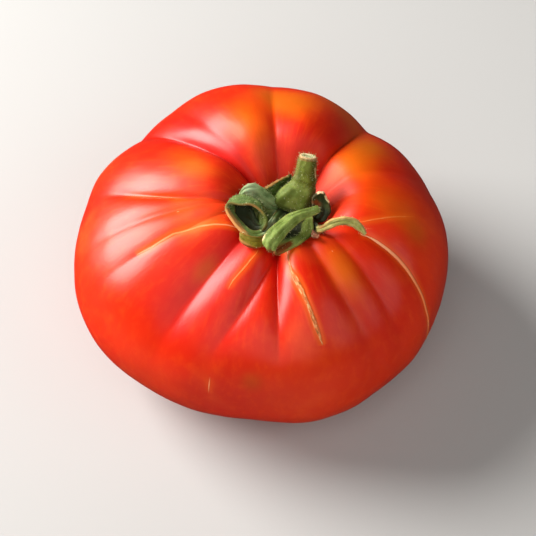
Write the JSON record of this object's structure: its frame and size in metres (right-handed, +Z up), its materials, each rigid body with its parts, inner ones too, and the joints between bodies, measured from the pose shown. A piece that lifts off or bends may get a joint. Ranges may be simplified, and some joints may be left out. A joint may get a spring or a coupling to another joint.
{
  "type": "beefsteak tomato",
  "caption": "Ripe ribbed beefsteak tomato as picked, with a short cut stalk and a dried, curled calyx; rests on the flats of its lobes.",
  "frame": {"origin": "on the table, under the middle of the fruit's box", "axes": "+Z up along the fruit's short axis, stalk end up; -Y is the front, where the rolled front sepal lies; +X right"},
  "size_m": [0.1058, 0.1062, 0.0644],
  "materials": {
    "skin": "smooth waxy tomato skin",
    "stalk": "green, finely haired",
    "sepal": "green leaf, half dried",
    "dry_sepal": "dry and papery"
  },
  "bodies": {
    "root": {"fruit": "skin", "calyx_plate": "sepal", "stalk": "stalk", "sepal_front_roll": "sepal", "sepal_left_loop": "sepal", "sepal_left_arch": "sepal", "sepal_back_cup": "sepal", "sepal_right_curl": "sepal", "sepal_right_arch": "sepal", "sepal_left_flap": "sepal", "sepal_dry_shred": "dry_sepal"}
  },
  "joints": []
}
